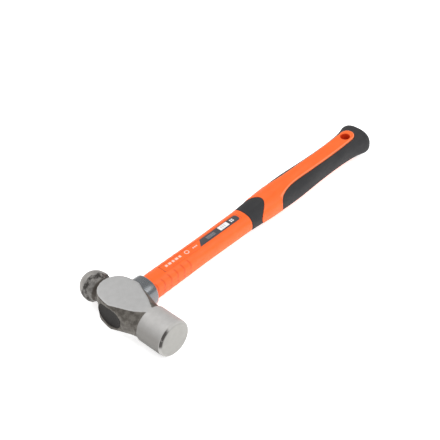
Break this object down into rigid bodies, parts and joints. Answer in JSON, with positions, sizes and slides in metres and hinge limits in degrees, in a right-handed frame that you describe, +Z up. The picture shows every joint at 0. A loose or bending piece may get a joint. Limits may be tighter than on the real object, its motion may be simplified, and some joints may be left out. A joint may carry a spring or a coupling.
{
  "type": "ball peen hammer",
  "caption": "Ball peen hammer with a forged round-faced head, fibreglass core, orange moulded jacket and soft black grips with a hanging hole.",
  "frame": {"origin": "middle of the bounding box in X and Y, at its lowest level, with the hammer lying on its side", "axes": "+X along the handle from head to grip end, -Y the way the struck face looks, +Y the ball, +Z up through the upper cheek"},
  "size_m": [0.3516, 0.1164, 0.0353],
  "materials": {
    "forged_steel": "ground and turned satin, dark forged skin at the eye and neck",
    "dark_resin": "matt",
    "glass_resin_rod": "matt",
    "grey_collar_plastic": "satin gloss",
    "orange_plastic": "satin",
    "black_soft_grip": "matt soft touch",
    "label_film": "satin film"
  },
  "bodies": {
    "root": {"hammer_head": "forged_steel", "eye_resin": "dark_resin", "fibreglass_rod": "glass_resin_rod", "collar": "grey_collar_plastic", "orange_jacket": "orange_plastic", "front_grip": "black_soft_grip", "rear_grip": "black_soft_grip", "label": "label_film"}
  },
  "joints": []
}
